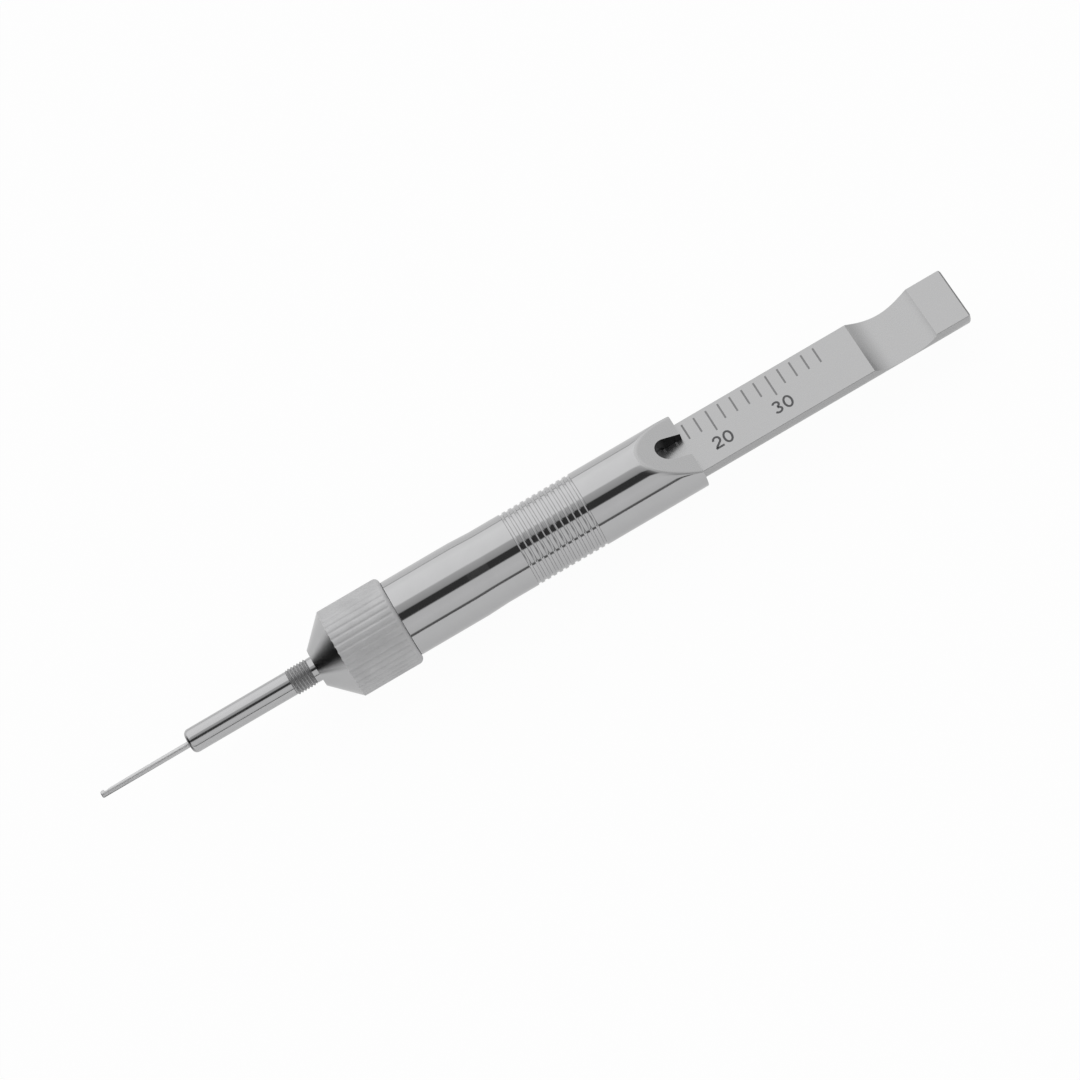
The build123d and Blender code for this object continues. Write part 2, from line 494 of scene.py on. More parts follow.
def steel(name, colour, roughness, grain, grain_depth, variation, wear):
    """Machined stainless steel.

    grain is the density of the tool marks along X, Y and Z per millimetre, grain_depth their
    depth in millimetres, variation the change of roughness over the surface, and wear how much
    the edges are rubbed bright.
    """
    material, tree, shader = new_material(name)
    links = tree.links
    shader.inputs["Metallic"].default_value = 1.0
    place = add_node(tree, "ShaderNodeTexCoord").outputs["Object"]
    scaled = add_node(tree, "ShaderNodeMapping", {"Scale": [value / MM for value in grain]})
    links.new(place, scaled.inputs["Vector"])
    marks = add_node(tree, "ShaderNodeTexNoise", MARK_NOISE)
    links.new(scaled.outputs["Vector"], marks.inputs["Vector"])
    patches = add_node(tree, "ShaderNodeTexNoise", PATCH_NOISE)
    links.new(place, patches.inputs["Vector"])

    both = add_node(tree, "ShaderNodeMix", {"Factor": 0.5})
    links.new(marks.outputs["Fac"], both.inputs["A"])
    links.new(patches.outputs["Fac"], both.inputs["B"])
    span = (roughness * (1 - variation), roughness * (1 + variation))
    rough = ranged(tree, both.outputs["Result"], MIDDLE_OF_NOISE, span)
    links.new(rough, shader.inputs["Roughness"])

    patched = mixed(tree, patches.outputs["Fac"], tinted(colour, PATCH_TINT), [*colour, 1])
    amount = math_node(tree, "MULTIPLY", near_edge(tree), wear)
    worn = mixed(tree, amount, patched, tinted(colour, WORN_TINT))
    links.new(worn, shader.inputs["Base Color"])
    bumped(tree, marks.outputs["Fac"], grain_depth, shader)
    return material


def ink_material(name, colour):
    """Dark filler in the engraved lines and numbers, a little uneven."""
    material, tree, shader = new_material(name)
    links = tree.links
    place = add_node(tree, "ShaderNodeTexCoord").outputs["Object"]
    noise = add_node(tree, "ShaderNodeTexNoise", INK_NOISE)
    links.new(place, noise.inputs["Vector"])
    patched = mixed(tree, noise.outputs["Fac"], [*colour, 1], tinted(colour, INK_TINT))
    links.new(patched, shader.inputs["Base Color"])
    rough = ranged(tree, noise.outputs["Fac"], (0.0, 1.0), INK_ROUGHNESS)
    links.new(rough, shader.inputs["Roughness"])
    bumped(tree, noise.outputs["Fac"], INK_GRAIN_DEPTH, shader)
    return material


STEEL = (0.52, 0.52, 0.525)
SATIN_STEEL = (0.475, 0.475, 0.478)
MATTE_STEEL = (0.66, 0.66, 0.665)
THREAD_STEEL = (0.44, 0.44, 0.443)
NEEDLE_STEEL = (0.66, 0.66, 0.665)
# Near black for the notch's upright wall: painted shade and painted dark reflection, far darker
# than the steel itself.
NOTCH_PAINTED_SHADE = (0.03, 0.03, 0.031)
DIGIT_INK = (0.07, 0.07, 0.073)
LINE_INK = (0.19, 0.19, 0.193)
polished = steel("polished_steel", STEEL, 0.07, (14, 2, 2), 0.0003, 0.4, 0.6)
satin = steel("satin_steel", SATIN_STEEL, 0.28, (1.2, 16, 16), 0.0008, 0.25, 0.5)
matte = steel("matte_steel", MATTE_STEEL, 0.72, (9, 9, 9), 0.005, 0.2, 0.4)
sleeved = steel("sleeve_steel", STEEL, 0.13, (14, 2, 2), 0.0003, 0.4, 0.6)
coned = steel("turned_cone", STEEL, 0.16, (16, 2, 2), 0.0006, 0.3, 0.5)
# The notch wall's material carries painted shade and painted dark reflection in its near-black
# colour.
notch_painted_shade = steel("notch_wall_painted_shade", NOTCH_PAINTED_SHADE, 0.25, (3, 3, 12), 0.0003, 0.3, 0.1)
threaded = steel("thread_steel", THREAD_STEEL, 0.42, (4, 4, 4), 0.0006, 0.3, 0.2)
needle_finish = steel("needle_steel", NEEDLE_STEEL, 0.45, (2, 14, 14), 0.0008, 0.3, 0.3)
digit_ink = ink_material("number_fill", DIGIT_INK)
line_ink = ink_material("line_fill", LINE_INK)

# Pieces


def thread_radius(x, angle, span, pitch, root, crest):
    """Radius of a threaded surface, with the thread running out at both ends."""
    phase = (x / pitch - angle / (2 * math.pi) + THREAD_START_SHARE) % 1.0
    height = 1 - abs(2 * phase - 1)
    flank = min(1, height / THREAD_FLANK_SHARE)
    radius = root + (crest - root) * flank
    near_end = min(x - span[0], span[1] - x)
    return min(radius, root + max(0, near_end) * THREAD_RUNOUT_SLOPE)


def protection_sleeve():
    """Turned sleeve with a helical thread near its rear."""
    start, end = THREAD_X
    thread_rows = int(round((end - start) / THREAD_PITCH * THREAD_STEPS))
    columns = []
    for column in range(SLEEVE_COLUMNS):
        angle = radians_of(column / SLEEVE_COLUMNS)
        outline = [
            (0, SLEEVE_BORE_R),
            *front_round(0, SLEEVE_R, SLEEVE_TIP_ROUND),
            (start - THREAD_END_GAP, SLEEVE_R),
        ]
        for row in range(thread_rows + 1):
            x = start + (end - start) * row / thread_rows
            outline.append((x, thread_radius(
                x, angle, THREAD_X, THREAD_PITCH, THREAD_ROOT_R, THREAD_CREST_R)))
        outline += [
            (end + THREAD_END_GAP, NECK_R - NECK_CHAMFER),
            (end + THREAD_END_GAP + NECK_CHAMFER, NECK_R),
            (SEAT_X, NECK_R),
            (SEAT_X + SEAT_R - NECK_R, SEAT_R),
            (FLANGE_X[0], SEAT_R),
            (FLANGE_X[0], FLANGE_R),
            (FLANGE_X[1], FLANGE_R),
            (FLANGE_X[1], SLEEVE_BORE_R),
        ]
        columns.append([(x, *polar(radius, angle)) for x, radius in supported(outline)])
    piece = ring_grid("sleeve", columns)
    finish_piece(piece, "sleeve", "polished_steel", sleeved, "protection_sleeve")
    piece.data.materials.append(threaded)
    inside_wall = (SLEEVE_BORE_R + THREAD_ROOT_R) / 2
    for face in piece.data.polygons:
        middle = face.center / MM
        if start < middle.x < end and math.hypot(middle.y, middle.z) > inside_wall:
            face.material_index = 1


def clamping_nut():
    """Union nut whose straight knurl runs out in scallops on the cone and on the rear edge."""
    pitch = radians_of(1 / KNURL_COUNT)
    groove = KNURL_WIDTH / NUT_R
    land = pitch - groove
    rim = []
    for tooth in range(KNURL_COUNT):
        middle = math.radians(KNURL_START_DEG) + tooth * pitch
        rim.append((middle - land / 2, NUT_R))
        rim.append((middle, NUT_R))
        rim.append((middle + land / 2, NUT_R))
        for step in range(1, KNURL_STEPS):
            share = step / KNURL_STEPS
            depth = KNURL_DEPTH * math.sin(math.pi * share)**KNURL_FULLNESS
            rim.append((middle + land / 2 + groove * share, NUT_R - depth))
    columns = []
    for angle, radius in rim:
        cone_x = NUT_NOSE_X + (radius - NUT_NOSE_R)
        outline = [(NUT_NOSE_X, NUT_BORE_R), (NUT_NOSE_X, NUT_NOSE_R)]
        for share in NUT_CONE_ROWS:
            outline.append((NUT_NOSE_X + (cone_x - NUT_NOSE_X) * share,
                            NUT_NOSE_R + (radius - NUT_NOSE_R) * share))
        outline.append((cone_x, radius))
        # The groove's bottom meets the rounding where the rounding has come down to it.
        drop = (radius - (NUT_R - NUT_END_ROUND)) / NUT_END_ROUND
        start_angle = math.asin(min(1, drop))
        for step in range(FINE_ROUND_STEPS + 1):
            turn = start_angle * (1 - step / FINE_ROUND_STEPS)
            outline.append((NUT_END_X - NUT_END_ROUND + NUT_END_ROUND * math.cos(turn),
                            NUT_R - NUT_END_ROUND + NUT_END_ROUND * math.sin(turn)))
        outline += [
            (NUT_END_X, NUT_CAVITY_R),
            (NUT_CAVITY_X, NUT_CAVITY_R),
            (NUT_CAVITY_X, NUT_BORE_R),
        ]
        columns.append([(x, *polar(r, angle)) for x, r in supported(outline)])
    piece = ring_grid("nut", columns)
    finish_piece(piece, "nut", "matte_steel", matte, "clamping_nut")
    # The cone and the nose are turned bright, the knurled band is bead blasted.
    piece.data.materials.append(coned)
    for face in piece.data.polygons:
        middle = face.center
        radius = math.hypot(middle.y, middle.z) / MM
        from_nose = middle.x / MM - NUT_NOSE_X
        on_cone = abs(from_nose - (radius - NUT_NOSE_R)) < NUT_CONE_REACH
        if on_cone or from_nose < NUT_CONE_REACH:
            face.material_index = 1


def grip_outline():
    """Ring grooves with rounded bottoms and plain lands between them."""
    outline = []
    land = GRIP_PITCH - GRIP_GROOVE_WIDTH
    for index in range(GRIP_GROOVES):
        groove_x = GRIP_START_X + index * GRIP_PITCH + land / 2
        for step in range(FINE_ROUND_STEPS + 1):
            turn = math.pi * step / FINE_ROUND_STEPS
            outline.append((groove_x + GRIP_GROOVE_WIDTH / 2 * (1 - math.cos(turn)),
                            BARREL_R - GRIP_GROOVE_DEPTH * math.sin(turn)))
    return outline


def bevel_height(x):
    """Height of the inclined reading plane above the axis."""
    return BARREL_R - BEVEL_SLOPE * (x - BEVEL_START_X)


def bevel_normal():
    return Vector((BEVEL_SLOPE, 0, 1)).normalized()


def smooth_maximum(first, second, blend):
    """The larger of two distances, blended where they are nearly the same."""
    overlap = max(blend - abs(first - second), 0)
    return max(first, second) + overlap * overlap / (4 * blend)


def buffed(x, radius, angle):
    """Radius of the barrel where the round surface runs over a buffed edge into the bevel.

    The buffing bends the round surface a little well before the edge, which stays crisp.
    """
    upright = bevel_normal().z

    def outside(tried):
        from_round = tried - radius
        from_plane = (tried * math.sin(angle) - bevel_height(x)) * upright
        bent = smooth_maximum(from_round, from_plane - BUFFING_LIFT, BUFFING_BLEND)
        return smooth_maximum(bent, from_plane, BEVEL_EDGE_BLEND)

    if outside(radius) <= 0:
        return radius
    low, high = BUFFED_LEAST_SHARE * radius, radius
    for _ in range(BUFFED_HALVINGS):
        middle = (low + high) / 2
        if outside(middle) > 0:
            high = middle
        else:
            low = middle
    return low


def channel_radius(angle):
    """Distance from the axis to the wall of the D-shaped channel that guides the bar."""
    if BORE_R * math.sin(angle) > CHANNEL_ROOF_Z:
        return CHANNEL_ROOF_Z / math.sin(angle)
    return BORE_R


def barrel_angles():
    """Even angles about the axis, moved a little to meet the two corners of the channel."""
    corner = math.asin(CHANNEL_ROOF_Z / BORE_R)
    angles = [radians_of(column / BARREL_COLUMNS) for column in range(BARREL_COLUMNS)]
    for target in (corner, math.pi - corner):
        nearest = min(range(BARREL_COLUMNS), key=lambda column: abs(angles[column] - target))
        angles[nearest] = target
    return angles


def spigot_outline(angle):
    """Threaded front end that carries the nut."""
    start, end = SPIGOT_THREAD_X
    rows = int(round((end - start) / SPIGOT_THREAD_PITCH * THREAD_STEPS))
    outline = [(BARREL_FRONT_X, BORE_R), (BARREL_FRONT_X, SPIGOT_ROOT_R)]
    for row in range(rows + 1):
        x = start + (end - start) * row / rows
        outline.append((x, thread_radius(
            x, angle, SPIGOT_THREAD_X, SPIGOT_THREAD_PITCH, SPIGOT_ROOT_R, SPIGOT_R)))
    return outline


def barrel_outline(angle):
    """Closed outline of the barrel in the half plane at an angle about the axis."""
    taper_start, taper_end = WAIST_TAPER_X
    chamfer_run, chamfer_rise = SHOULDER_CHAMFER
    outline = spigot_outline(angle) + [
        (SHOULDER_X, SPIGOT_ROOT_R),
        (SHOULDER_X, BARREL_FRONT_R - chamfer_rise),
        (SHOULDER_X + chamfer_run, BARREL_FRONT_R),
        (taper_start, BARREL_FRONT_R),
        (taper_end, BARREL_R),
        *grip_outline(),
        (BUFFED_FROM_X, BARREL_R),
    ]
    outline = supported(outline)[:-2]
    rows = int((BARREL_END_X - BARREL_END_ROUND - BUFFED_FROM_X) / BUFFED_ROW_STEP)
    rear = [(BUFFED_FROM_X + BUFFED_ROW_STEP * (row + 1), BARREL_R) for row in range(rows)]
    rear += back_round(BARREL_END_X, BARREL_R, BARREL_END_ROUND)
    outline += [(x, buffed(x, radius, angle)) for x, radius in rear]
    inside = channel_radius(angle)
    reach = SUPPORT_REACH
    return outline + [
        (BARREL_END_X, inside),
        (BARREL_END_X - reach, inside),
        (BORE_END_X + reach, inside),
        (BORE_END_X, inside),
        (BORE_END_X, BORE_R),
        (BORE_END_X - reach, BORE_R),
        (BARREL_FRONT_X + reach, BORE_R),
    ]


def barrel():
    """Tube with a grip, an inclined reading plane, a U-shaped notch and a D-shaped channel."""
    columns = []
    for angle in barrel_angles():
        columns.append([(x, *polar(radius, angle)) for x, radius in barrel_outline(angle)])
    piece = ring_grid("barrel_tube", columns)
    notch = []
    for step in range(NOTCH_STEPS + 1):
        angle = math.pi / 2 + math.pi * step / NOTCH_STEPS
        notch.append((NOTCH_CENTRE_X + NOTCH_R * math.cos(angle), NOTCH_R * math.sin(angle)))
    past_end = BARREL_END_X + NOTCH_PAST_END
    notch += [(past_end, -NOTCH_R), (past_end, NOTCH_R)]
    cutter = prism("notch", notch, CHANNEL_ROOF_Z - NOTCH_BELOW_ROOF, WELL_CLEAR, "Z")
    combine(piece, cutter, "DIFFERENCE")
    soften(piece, EDGE_SOFTENING)
    finish_piece(piece, "barrel", "polished_steel", polished, "barrel")
    piece.data.materials.append(satin)
    piece.data.materials.append(notch_painted_shade)
    # The bevel is milled and keeps a satin finish up to its buffed edge.
    least_lean, most_lean = BEVEL_LEAN
    for face in piece.data.polygons:
        middle = face.center / MM
        if not BUFFED_FROM_X <= middle.x <= BARREL_END_X - REAR_FACE_REACH:
            continue
        # The notch's upright wall gets the near-black material: painted shade and painted dark
        # reflection.
        if on_notch_wall(middle, face.normal):
            face.material_index = 2
        elif middle.z > CHANNEL_ROOF_Z and least_lean < face.normal.x < most_lean:
            before_round = middle.x < BARREL_END_X - BARREL_END_ROUND
            if before_round or face.normal.dot(bevel_normal()) > BEVEL_LIKENESS:
                face.material_index = 1


def on_notch_wall(middle, normal):
    """Whether a face belongs to the upright wall of the notch."""
    if abs(normal.z) > 0.5 or middle.z < CHANNEL_ROOF_Z:
        return False
    if middle.x < NOTCH_CENTRE_X:
        from_wall = math.hypot(middle.x - NOTCH_CENTRE_X, middle.y) - NOTCH_R
    else:
        from_wall = abs(middle.y) - NOTCH_R
    return abs(from_wall) < NOTCH_WALL_REACH


def stroke(points, width):
    """Outline of a stroke of even width along a line of points."""
    left, right = [], []
    for index, point in enumerate(points):
        before = points[max(index - 1, 0)]
        after = points[min(index + 1, len(points) - 1)]
        run = Vector((after[0] - before[0], after[1] - before[1])).normalized()
        side = Vector((-run.y, run.x)) * width / 2
        left.append((point[0] + side.x, point[1] + side.y))
        right.append((point[0] - side.x, point[1] - side.y))
    return left + right[::-1]


def digit_strokes(digit):
    """Centre lines of a digit from 0 to 3 in its box, from the box's lower left corner."""
    w, h, s = DIGIT_WIDTHS[digit], DIGIT_HEIGHT, DIGIT_STROKE
    inner_w, inner_h = w - s, h - s
    low, left = s / 2, s / 2
    if digit == "0":
        return [arc((w / 2, h / 2), (inner_w / 2, inner_h / 2), 0, 360, 48)]
    if digit == "1":
        return [[(w * 0.62, 0), (w * 0.62, h)],
                [(w * 0.62, h - s / 2), (w * 0.22, h - s * 1.5)]]
    if digit == "2":
        bowl = arc((w / 2, h * 0.66), (inner_w / 2, h * 0.34 - s / 2), 172, -38, 24)
        return [bowl + [(left + 0.1 * w, low + 0.12 * h), (left, low)],
                [(0, low), (w, low)]]
    upper = arc((w * 0.47, h * 0.735), (inner_w * 0.44, h * 0.265 - s / 2), 160, -90, 22)
    lower = arc((w * 0.47, h * 0.275), (inner_w * 0.5, h * 0.275 - s / 2), 90, -160, 24)
    return [upper, lower]


def above_scale_face():
    """Section of what is milled away above the scale face, with its two long edges rounded."""
    centre_z = SCALE_FACE_Z - BAR_EDGE_ROUND
    centre_y = math.sqrt((BAR_R - BAR_EDGE_ROUND)**2 - centre_z**2)
    lowest = math.degrees(math.atan2(centre_z, centre_y))
    radii = (BAR_EDGE_ROUND, BAR_EDGE_ROUND)
    edge = arc((centre_y, centre_z), radii, 90, lowest, FINE_ROUND_STEPS)
    clear = [polar(2 * BAR_R, math.radians(lowest)), (2 * BAR_R, 2 * BAR_R)]
    right = edge + clear
    return right + [(-y, z) for y, z in reversed(right)]


def slide_bar():
    outline = [
        (BAR_START_X - TENON_LENGTH, 0),
        (BAR_START_X - TENON_LENGTH, TENON_R),
        (BAR_START_X, TENON_R),
        (BAR_START_X, BAR_R),
        *back_round(BAR_END_X, BAR_R, BAR_END_ROUND),
        (BAR_END_X, 0),
    ]
    piece = lathe("scale_bar", outline)
    combine(piece, prism("top", above_scale_face(), BAR_START_X, BAR_END_X + 2, "X"),
            "DIFFERENCE")
    corner = [
        (BAR_END_X - BAR_FACE_CHAMFER, SCALE_FACE_Z),
        (BAR_END_X + 1, SCALE_FACE_Z - BAR_FACE_CHAMFER - 1),
        (BAR_END_X + 1, SCALE_FACE_Z + 1),
        (BAR_END_X - BAR_FACE_CHAMFER - 1, SCALE_FACE_Z + 1),
    ]
    combine(piece, prism("corner", corner, -WELL_CLEAR, WELL_CLEAR, "Y"), "DIFFERENCE")
    recess_r = (RECESS_HALF_LENGTH**2 + RECESS_DEPTH**2) / (2 * RECESS_DEPTH)
    recess_z = SCALE_FACE_Z - RECESS_DEPTH + recess_r
    recess = circle((RECESS_CENTRE_X, recess_z), recess_r, RECESS_STEPS)
    combine(piece, prism("recess", recess, -WELL_CLEAR, WELL_CLEAR, "Y"), "DIFFERENCE")
    hole = circle((DOWEL_X, 0), DOWEL_R, DOWEL_STEPS)
    combine(piece, prism("dowel_hole", hole, -WELL_CLEAR, WELL_CLEAR, "Y"), "DIFFERENCE")
    soften(piece, EDGE_SOFTENING)
    finish_piece(piece, "slide", "satin_steel", satin, "slide_bar")


def scale_marks():
    """Lines every 2 mm and the numbers of the tens, filled dark."""
    low = SCALE_FACE_Z - MARK_DEPTH
    high = SCALE_FACE_Z + MARK_RISE
    for reading in range(0, SCALE_LAST + 1, SCALE_STEP):
        x = SCALE_ZERO_X + reading
        length = LONG_LINE if reading % 10 == 0 else SHORT_LINE
        outline = [
            (x - LINE_WIDTH / 2, LINE_START_Y - length),
            (x + LINE_WIDTH / 2, LINE_START_Y - length),
            (x + LINE_WIDTH / 2, LINE_START_Y),
            (x - LINE_WIDTH / 2, LINE_START_Y),
        ]
        line = prism(f"line_{reading:02d}", outline, low, high, "Z")
        finish_piece(line, "slide", "satin_steel", line_ink)
    for tens in NUMBERED:
        text = str(tens)
        width = sum(DIGIT_WIDTHS[digit] for digit in text) + DIGIT_GAP
        left = SCALE_ZERO_X + tens - width / 2
        for place, digit in enumerate(text):
            for number, path in enumerate(digit_strokes(digit)):
                name = f"digit_{tens}_{place}_{number}"
                line = [(left + a, DIGIT_TOP_Y - DIGIT_HEIGHT + b) for a, b in path]
                if digit == "0":
                    piece = new_object(name, *ring_stroke(line, low, high))
                else:
                    piece = prism(name, stroke(line, DIGIT_STROKE), low, high, "Z")
                finish_piece(piece, "slide", "satin_steel", digit_ink)
            left += DIGIT_WIDTHS[digit] + DIGIT_GAP


def ring_stroke(line, low, high):
    """Closed stroke, such as a nought, as points and faces."""
    line = line[:-1]
    count = len(line)
    points = []
    for index, point in enumerate(line):
        before = line[index - 1]
        after = line[(index + 1) % count]
        run = Vector((after[0] - before[0], after[1] - before[1])).normalized()
        side = Vector((-run.y, run.x)) * DIGIT_STROKE / 2
        inner = (point[0] + side.x, point[1] + side.y)
        outer = (point[0] - side.x, point[1] - side.y)
        points += [(*inner, low), (*outer, low), (*outer, high), (*inner, high)]
    faces = []
    for index in range(count):
        after = (index + 1) % count
        for corner in range(4):
            beside = (corner + 1) % 4
            faces.append([4 * index + corner, 4 * after + corner,
                          4 * after + beside, 4 * index + beside])
    return points, faces


def needle_top(x):
    """Height of the ground upper side above the axis, at a place along the needle."""
    neck_end = HOOK_TIP_X + HOOK_THICKNESS
    stations = [
        (HOOK_TIP_X, NECK_TOP_Y),
        (neck_end + NECK_LENGTH / 2, NECK_TOP_Y),
        (neck_end + NECK_LENGTH, GRIND_TIP_Y),
        (GRIND_START_X, NEEDLE_CENTRE_Y + NEEDLE_R),
    ]
    for (x0, y0), (x1, y1) in zip(stations, stations[1:]):
        if x <= x1:
            share = min(1, max(0, (x - x0) / (x1 - x0)))
            return y0 + (y1 - y0) * share
    return WELL_CLEAR


def hook_needle():
    """Needle ground down on its upper side, with a hook at the tip and a thicker shank."""
    neck_end = HOOK_TIP_X + HOOK_THICKNESS
    stations = [(HOOK_TIP_X, 0)]
    stations += front_round(HOOK_TIP_X, NEEDLE_R, NEEDLE_TIP_ROUND)
    for x in (neck_end, neck_end + NECK_LENGTH / 2, neck_end + NECK_LENGTH, *NEEDLE_ROWS_X):
        stations.append((x, NEEDLE_R))
    thin_rows = len(stations)
    stations += [(SHANK_START_X, NEEDLE_R), (SHANK_START_X, SHANK_R), (SHANK_END_X, SHANK_R),
                 (SHANK_END_X, 0)]
    columns = []
    for column in range(NEEDLE_COLUMNS):
        angle = radians_of(column / NEEDLE_COLUMNS)
        ring = []
        for row, (x, radius) in enumerate(stations):
            y, z = polar(radius, angle)
            if row <= thin_rows:
                y = min(y + NEEDLE_CENTRE_Y, needle_top(x))
            ring.append((x, y, z))
        columns.append(ring)
    piece = ring_grid("needle", columns)
    front_x = HOOK_TIP_X + HOOK_INSET
    middle_x, middle_drop = HOOK_CORNER_MIDDLE
    hook = [
        (front_x, NEEDLE_CENTRE_Y),
        (neck_end, NEEDLE_CENTRE_Y),
        (neck_end, HOOK_TOP_Y),
        (HOOK_TIP_X + HOOK_CORNER, HOOK_TOP_Y),
        (HOOK_TIP_X + middle_x, HOOK_TOP_Y - middle_drop),
        (front_x, HOOK_TOP_Y - HOOK_CORNER),
    ]
    combine(piece, prism("hook", hook, -HOOK_HALF_WIDTH, HOOK_HALF_WIDTH, "Z"), "UNION")
    soften(piece, NEEDLE_SOFTENING)
    finish_piece(piece, "slide", "needle_steel", needle_finish, "hook_needle")


protection_sleeve()
clamping_nut()
barrel()
slide_bar()
scale_marks()
hook_needle()

INSIDE = {
    "needle_carrier": satin,
    "needle_screw": matte,
    "bar_dowel": satin,
    "friction_ring": polished,
}
for node_name, material in INSIDE.items():
    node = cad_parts[node_name]
    if node.material_slots:
        for place in node.material_slots:
            place.material = material
    else:
        node.data.materials.append(material)

# Camera


def place_camera():
    tilt = math.radians(VIEW_TILT_DEG)
    yaw = math.radians(VIEW_YAW_DEG)
    rise = math.radians(AXIS_RISE_DEG)
    towards = Vector((math.sin(yaw), -math.sin(tilt) * math.cos(yaw),
                      math.cos(tilt) * math.cos(yaw)))
    along = Vector((1, 0, 0))
    along = (along - along.dot(towards) * towards).normalized()
    across = towards.cross(along)
    right = math.cos(rise) * along - math.sin(rise) * across
    up = math.sin(rise) * along + math.cos(rise) * across
    centre = Vector((VIEW_CENTRE_X, 0, 0)) - VIEW_CENTRE_DROP * across
    place = (centre + CAMERA_DISTANCE * towards) * MM
    lens = bpy.data.cameras.new("camera")
    lens.lens = CAMERA_LENS
    lens.sensor_width = CAMERA_SENSOR
    lens.clip_start, lens.clip_end = CAMERA_CLIP_M
    camera = bpy.data.objects.new("camera", lens)
    turn = Matrix((right, up, towards)).transposed()
    camera.matrix_world = Matrix.Translation(place) @ turn.to_4x4()
    bpy.context.scene.collection.objects.link(camera)
    bpy.context.scene.camera = camera


place_camera()

# Floor and light

FLOOR_COLOUR = (0.86, 0.86, 0.86, 1)
CARD_COLOUR = (0.01, 0.01, 0.01, 1)
DULL = 0.9
# How white the floor is for each kind of ray. The camera sees it nearly white, with a faint
# shadow, and the metal sees it pale.
FLOOR_WHITE = {"Is Camera Ray": 0.96, "Is Glossy Ray": 0.56, "Is Transmission Ray": 0.56}

# Whether a card stands upright, its place, dark core and outer radius in millimetres, its
# skew and its darkness. The upright one past the hook clears the needle at its full travel.
DARK_CARDS = {
    "card_past_hook": (True, (-39.5, -0.3, 0.8), 5.5, 52.0, 1.3, 1.0),
    "card_under_hook": (False, (-22.0, -2.0, -6.9), 8.0, 24.0, 0.6, 0.9),
    "card_past_thumb_end": (True, (150.0, 12.0, -1.0), 4.0, 10.0, 0.0, 0.62),
}

# Grey of the surroundings by the angle from straight up, in degrees, positive towards +Y:
# across the instrument and towards its hook, and towards its thumb end
ACROSS = [
    (-180, 0.72),
    (-91, 0.72),
    (-90, 0.14),
    (-83.5, 0.14),
    (-82, 0.74),
    (-60, 0.82),
    (-37, 0.78),
    (-34.5, 0.05),
    (-15.5, 0.05),
    (-13, 0.46),
    (6, 0.62),
    (9.5, 1.06),
    (60, 1.16),
    (85.5, 1.05),
    (87.5, 0.50),
    (90.5, 0.50),
    (92, 0.72),
    (180, 0.72),
]
LENGTHWISE = [
    (-180, 0.72),
    (-90, 0.70),
    (-72, 0.66),
    (-66, 0.34),
    (-52, 0.34),
    (-46, 0.64),
    (-35, 0.62),
    (-10, 0.66),
    (20, 1.08),
    (60, 1.17),
    (86, 1.10),
    (92, 0.72),
    (180, 0.72),
]
# Where the one set of greys gives way to the other, by the direction's share along X
TOWARDS_THUMB_END = (0.08, 0.26)
# The room is a little darker past the thumb end and dark far behind the hook: where the shade
# starts and is full, by the same share, and its grey.
END_SHADES = [
    (0.55, 1.0, 0.62),
    (0.90, 1.0, 0.12),
    (-0.82, -1.0, 0.03),
]


def mix_surface(tree, factor, first, second):
    """Mix two shaders by an output and make that the surface."""
    mix = add_node(tree, "ShaderNodeMixShader")
    tree.links.new(factor, mix.inputs[0])
    tree.links.new(first.outputs[0], mix.inputs[1])
    tree.links.new(second.outputs[0], mix.inputs[2])
    tree.links.new(mix.outputs[0], tree.nodes["Material Output"].inputs["Surface"])


def floor():
    half = FLOOR_SIZE / 2
    sheet = new_object(
        "floor",
        [(-half, -half, FLOOR_Z), (half, -half, FLOOR_Z), (half, half, FLOOR_Z),
         (-half, half, FLOOR_Z)],
        [[0, 1, 2, 3]],
    )
    material, tree, shader = new_material("floor")
    shader.inputs["Base Color"].default_value = FLOOR_COLOUR
    shader.inputs["Roughness"].default_value = DULL
    white = add_node(tree, "ShaderNodeEmission", {"Strength": 1.0})
    ray = add_node(tree, "ShaderNodeLightPath")
    share = 0.0
    for kind, amount in FLOOR_WHITE.items():
        share = math_node(tree, "MULTIPLY_ADD", ray.outputs[kind], amount, share)
    mix_surface(tree, share, shader, white)
    sheet.data.materials.append(material)


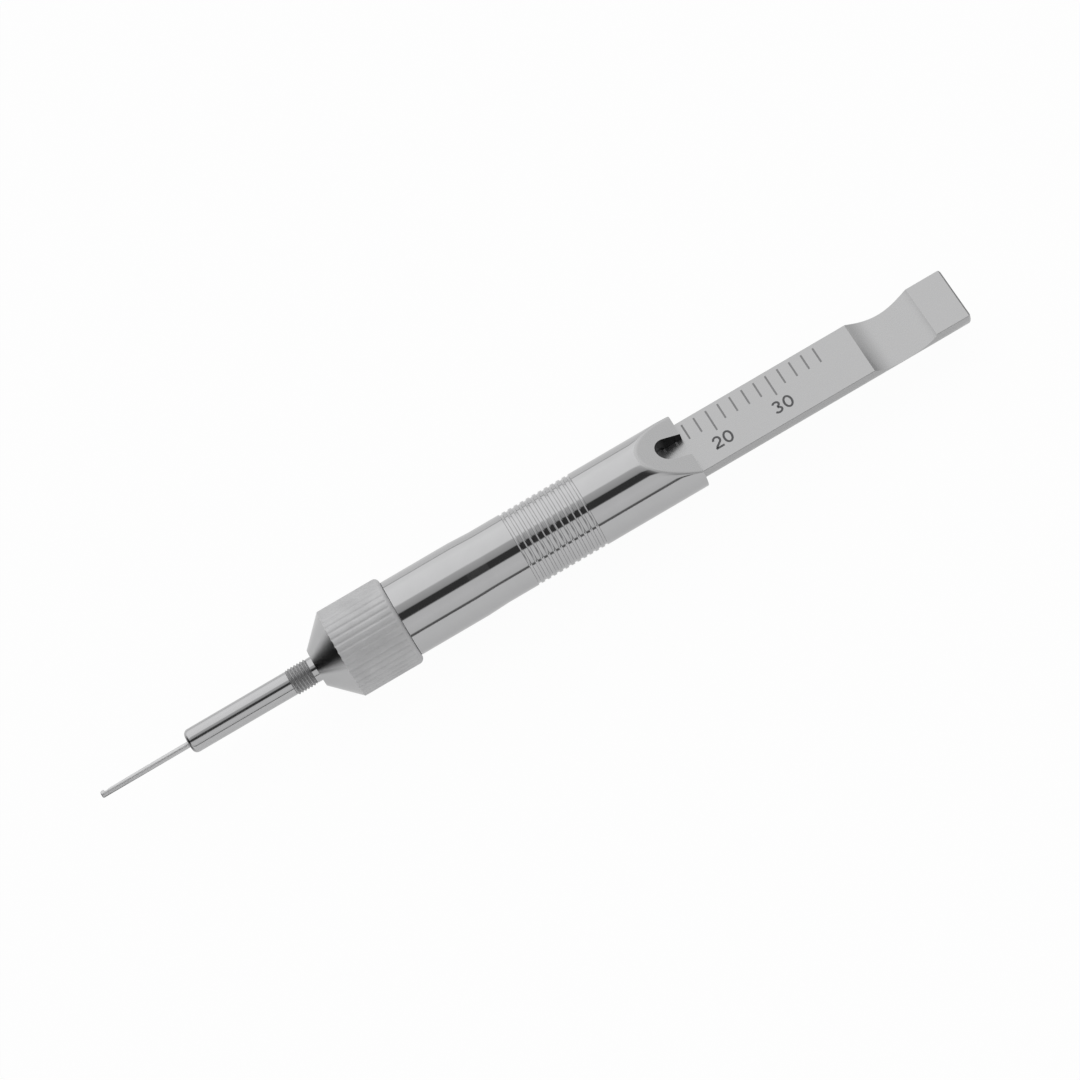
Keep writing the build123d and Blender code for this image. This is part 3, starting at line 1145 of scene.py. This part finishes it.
def dark_card(name, upright, centre, core, half, skew, darkness):
    """Soft-edged black card, upright across the axis or lying, which only reflections see.

    The fade ends nearer to the centre on the side towards the camera, by the skew. The
    darkness is the share of light that the card's core takes away.
    """
    x, y, z = centre
    corners = []
    for side_a, side_b in ((-half, -half), (half, -half), (half, half), (-half, half)):
        corners.append((x, y + side_a, z + side_b) if upright else (x + side_a, y + side_b, z))
    sheet = new_object(name, corners, [[0, 1, 2, 3]])
    material, tree, shader = new_material(name)
    links = tree.links
    shader.inputs["Base Color"].default_value = CARD_COLOUR
    shader.inputs["Roughness"].default_value = DULL
    shader.inputs["Specular IOR Level"].default_value = 0.0
    clear = add_node(tree, "ShaderNodeBsdfTransparent")
    place = add_node(tree, "ShaderNodeTexCoord").outputs["Object"]
    from_centre = add_node(tree, "ShaderNodeVectorMath",
                           {1: [value * MM for value in centre]}, operation="DISTANCE")
    links.new(place, from_centre.inputs[0])
    split = add_node(tree, "ShaderNodeSeparateXYZ")
    links.new(place, split.inputs["Vector"])
    aside = math_node(tree, "SUBTRACT", y * MM, split.outputs["Y"])
    near_side = math_node(tree, "MAXIMUM", aside, 0.0)
    reach = math_node(tree, "MULTIPLY_ADD", near_side, skew, from_centre.outputs["Value"])
    fade = ranged(tree, reach, (core * MM, half * MM), (1 - darkness, 1.0), "SMOOTHSTEP")
    mix_surface(tree, fade, shader, clear)
    sheet.data.materials.append(material)
    sheet.visible_camera = False
    sheet.visible_diffuse = False
    sheet.visible_shadow = False
    sheet.visible_transmission = False


def grey_ramp(tree, share, stops):
    """Grey by angle, from a share of the full turn."""
    node = add_node(tree, "ShaderNodeValToRGB")
    elements = node.color_ramp.elements
    first, last = elements[0], elements[1]
    first.color = grey(stops[0][1])
    last.color = grey(stops[-1][1])
    for degrees, level in stops[1:-1]:
        elements.new((degrees + 180) / 360).color = grey(level)
    tree.links.new(share, node.inputs["Fac"])
    return node.outputs["Color"]


def surroundings():
    """Soft studio light: pale walls and a bright strip, with a dark slot behind the camera."""
    world = bpy.data.worlds.new("studio")
    bpy.context.scene.world = world
    world.use_nodes = True
    tree = world.node_tree
    place = add_node(tree, "ShaderNodeTexCoord").outputs["Generated"]
    split = add_node(tree, "ShaderNodeSeparateXYZ")
    tree.links.new(place, split.inputs["Vector"])
    angle = math_node(tree, "ARCTAN2", split.outputs["Y"], split.outputs["Z"])
    share = ranged(tree, angle, (-math.pi, math.pi))
    across = grey_ramp(tree, share, ACROSS)
    lengthwise = grey_ramp(tree, share, LENGTHWISE)
    along = split.outputs["X"]
    towards_end = ranged(tree, along, TOWARDS_THUMB_END, interpolation="SMOOTHSTEP")
    colour = mixed(tree, towards_end, across, lengthwise)
    for start, full, level in END_SHADES:
        shade = ranged(tree, along, (start, full), interpolation="SMOOTHSTEP")
        colour = mixed(tree, shade, colour, grey(level))
    # The camera sees plain white.
    ray = add_node(tree, "ShaderNodeLightPath")
    seen = mixed(tree, ray.outputs["Is Camera Ray"], colour, grey(1))
    tree.links.new(seen, tree.nodes["Background"].inputs["Color"])


floor()
for card_name, card in DARK_CARDS.items():
    dark_card(card_name, *card)
surroundings()
bpy.context.scene.view_settings.view_transform = "Standard"
